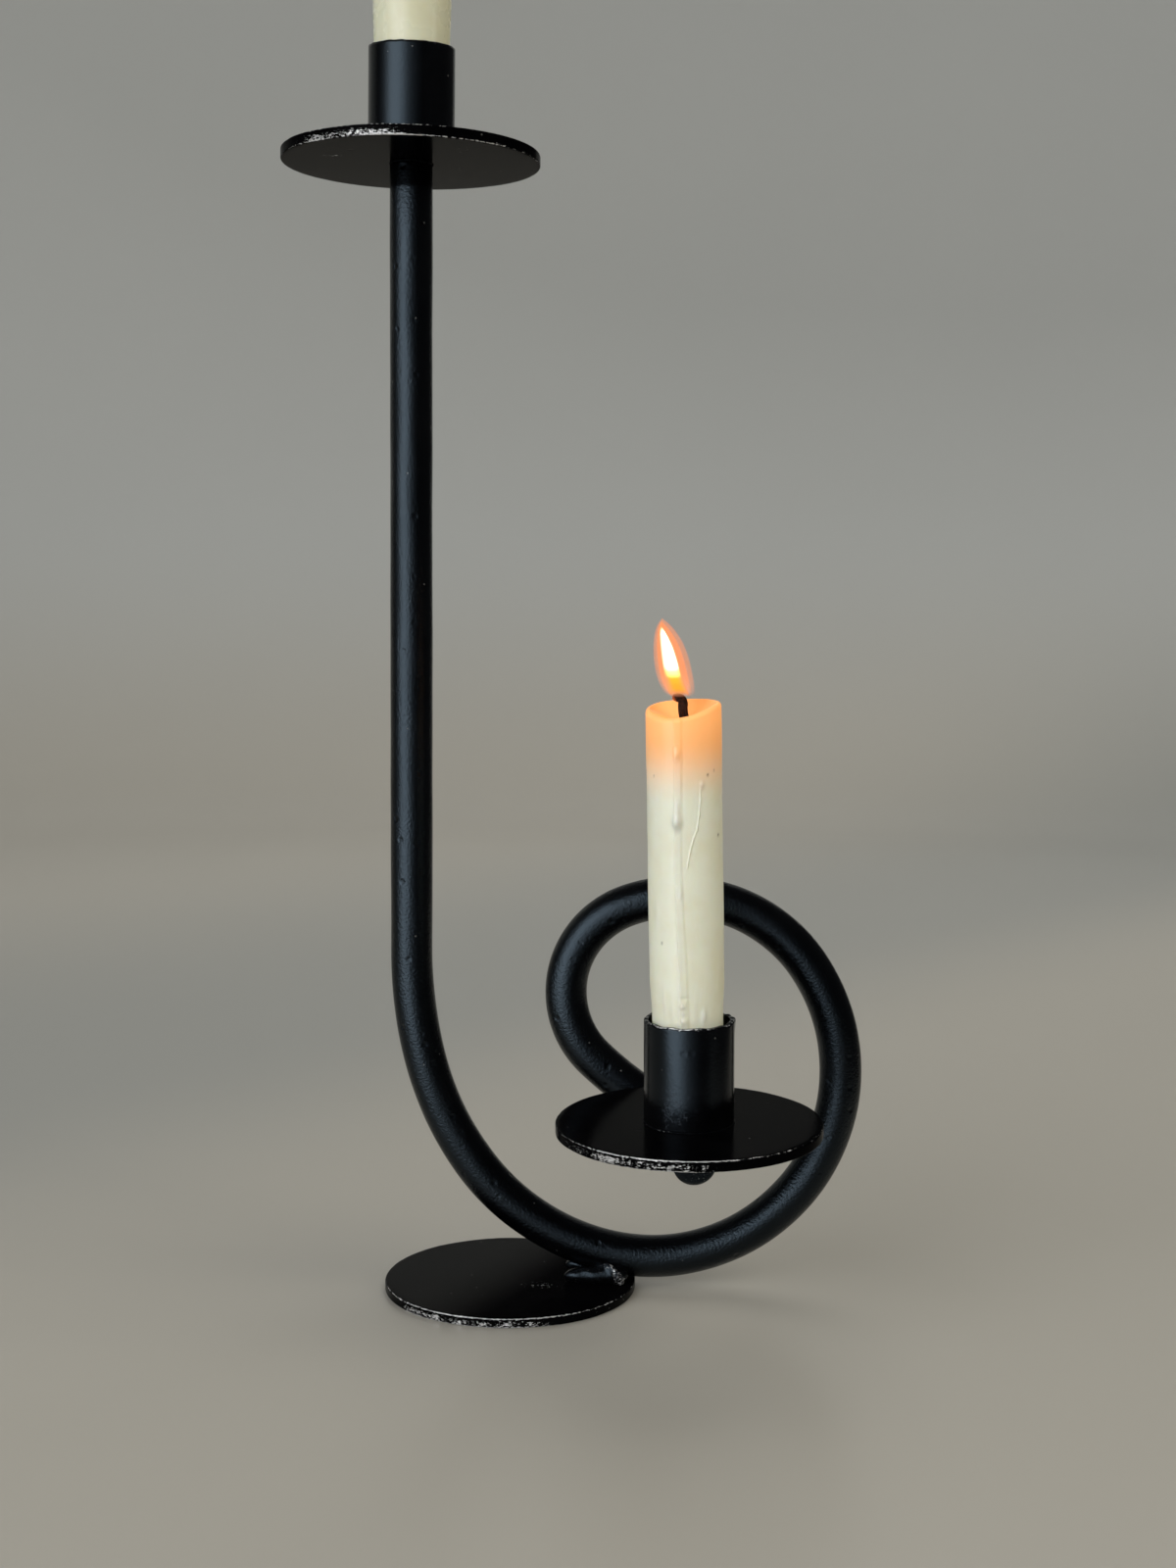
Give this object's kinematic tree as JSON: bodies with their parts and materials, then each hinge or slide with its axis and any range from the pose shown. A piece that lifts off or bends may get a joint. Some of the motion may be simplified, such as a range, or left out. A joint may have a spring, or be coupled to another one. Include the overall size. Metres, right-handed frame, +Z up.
{
  "type": "double candle holder",
  "caption": "Bent round bar on a flat disc base, its stem and curled tail each ending in a drip tray and cup that hold a taper candle.",
  "frame": {"origin": "centre of the base disc's underside", "axes": "+Z up along the stem, +X from the stem towards the hoop of the bar, -Y towards the front where the lower tray stands"},
  "size_m": [0.1746, 0.1199, 0.4627],
  "materials": {
    "black_paint": "semi-gloss black, worn to bare metal along the edges",
    "painted_weld": "lumpy weld under the same black paint",
    "wax": "ivory wax with a soft sheen",
    "wick": "charred cotton"
  },
  "bodies": {
    "frame": {"bent_bar": "black_paint", "base_disc": "black_paint", "base_weld_front": "painted_weld", "base_weld_back": "painted_weld", "stem_weld": "painted_weld", "upper_tray": "black_paint", "upper_cup": "black_paint", "upper_cup_weld": "painted_weld", "tail_weld_left": "painted_weld", "tail_weld_right": "painted_weld", "lower_tray": "black_paint", "lower_cup": "black_paint", "lower_cup_weld": "painted_weld"},
    "upper_candle_body": {"upper_candle": "wax", "upper_wick": "wick"},
    "lower_candle_body": {"lower_candle": "wax", "lower_wick": "wick"}
  },
  "joints": [
    {"name": "upper_candle_lift", "type": "slide", "parent": "frame", "child": "upper_candle_body", "axis": [0.0105, -0.0279, 0.9996], "range_m": [0, 0.06]},
    {"name": "lower_candle_lift", "type": "slide", "parent": "frame", "child": "lower_candle_body", "axis": [-0.0087, -0.0405, 0.9991], "range_m": [0, 0.06]}
  ]
}
